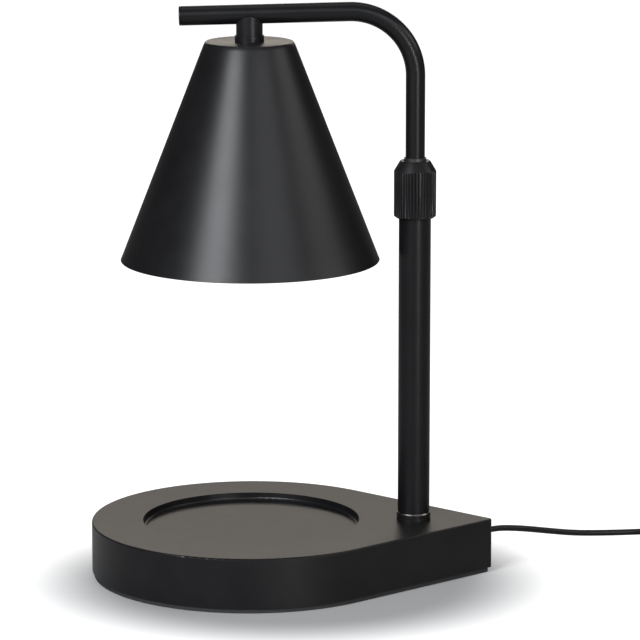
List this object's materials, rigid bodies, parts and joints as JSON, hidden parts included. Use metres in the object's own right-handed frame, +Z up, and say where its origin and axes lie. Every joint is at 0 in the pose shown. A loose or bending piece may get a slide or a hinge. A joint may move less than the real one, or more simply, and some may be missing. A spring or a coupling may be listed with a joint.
{
  "type": "candle warmer lamp",
  "caption": "Table lamp that melts a candle in a jar from above: teardrop base with a round recess, telescopic post with a locking collar, bent arm and cone shade.",
  "frame": {"origin": "on the table, in the foot pad's flat face, under the middle of the round recess", "axes": "+Z up, +X from the recess towards the post and the tip of the base, so the shade hangs on the Z axis"},
  "size_m": [0.3506, 0.1602, 0.2888],
  "materials": {
    "black_paint": "fine matte powder coat",
    "black_steel_polished_edge": "satin black with a polished edge",
    "zinc_steel": "zinc plated, bright",
    "cast_iron": "as cast",
    "brass": "plain turned brass",
    "black_rubber": "matt rubber foam",
    "black_nylon": "moulded nylon",
    "black_flex": "satin PVC sheath",
    "black_moulding": "fine spark-eroded texture",
    "white_plastic": "natural nylon",
    "green_board": "solder resist",
    "white_ceramic": "unglazed steatite",
    "clear_glass": "clear",
    "mirror_glass": "dichroic coated inside",
    "plated_pin": "nickel plated"
  },
  "bodies": {
    "base": {"base_shell": "black_paint", "foot_pad": "black_rubber", "cover_plate": "zinc_steel", "cover_screws": "zinc_steel", "ballast_disc": "cast_iron", "ballast_screws": "zinc_steel", "foot_ring": "black_steel_polished_edge", "post_tube": "black_paint", "post_end_plug": "zinc_steel", "post_stud": "brass", "post_washer": "zinc_steel", "post_nut": "brass", "thread_sleeve": "brass", "slack_lead": "black_flex", "strain_relief": "black_rubber", "terminal_block": "white_plastic", "terminal_screws": "brass", "cord_clamp": "black_nylon", "clamp_screws": "zinc_steel", "cord_inside_base": "black_flex", "lead_to_post": "black_flex", "cord_lead": "black_flex", "cord_coil": "black_flex", "cord_tie": "black_nylon", "cord_to_dimmer": "black_flex", "dimmer_case_bottom": "black_moulding", "dimmer_case_top": "black_moulding", "dimmer_screws": "zinc_steel", "dimmer_board": "green_board", "dimmer_potentiometer": "black_moulding", "cord_to_plug": "black_flex", "plug_body": "black_moulding", "plug_blades": "brass"},
    "collar": {"lock_collar": "black_paint"},
    "sleeve": {"split_sleeve": "black_nylon"},
    "arm": {"arm_tube": "black_paint", "arm_end_cap": "black_paint", "arm_guide_bush": "black_nylon", "stem": "black_paint", "stem_ring": "black_paint", "shade": "black_paint", "stem_nipple": "brass", "shade_washer": "zinc_steel", "shade_nut": "brass", "holder_bracket": "zinc_steel", "lampholder": "white_ceramic", "holder_screws": "zinc_steel", "holder_contacts": "brass", "arm_lead": "black_flex"},
    "halogen_lamp": {"lamp_cap": "white_ceramic", "lamp_reflector": "mirror_glass", "lamp_front_glass": "clear_glass", "lamp_capsule": "clear_glass", "lamp_pins": "plated_pin"},
    "dimmer_wheel": {"dimmer_wheel": "black_moulding"}
  },
  "joints": [
    {"name": "collar_turn", "type": "hinge", "parent": "base", "child": "collar", "pos_m": [0.0818, 0, 0.19], "axis": [0, 0, 1], "range_deg": [0, 180]},
    {"name": "arm_swing", "type": "hinge", "parent": "base", "child": "sleeve", "pos_m": [0.0818, 0, 0.2], "axis": [0, 0, 1], "range_deg": [-170, 170]},
    {"name": "arm_height", "type": "slide", "parent": "sleeve", "child": "arm", "axis": [0, 0, 1], "range_m": [-0.036, 0.062], "deforming": ["slack_lead"]},
    {"name": "lamp_twist", "type": "hinge", "parent": "arm", "child": "halogen_lamp", "pos_m": [0, 0, 0.24], "axis": [0, 0, 1], "range_deg": [-20, 0]},
    {"name": "dimmer_turn", "type": "hinge", "parent": "base", "child": "dimmer_wheel", "pos_m": [0.258, -0.02, 0.016], "axis": [0, 0, 1], "range_deg": [0, 270]}
  ]
}
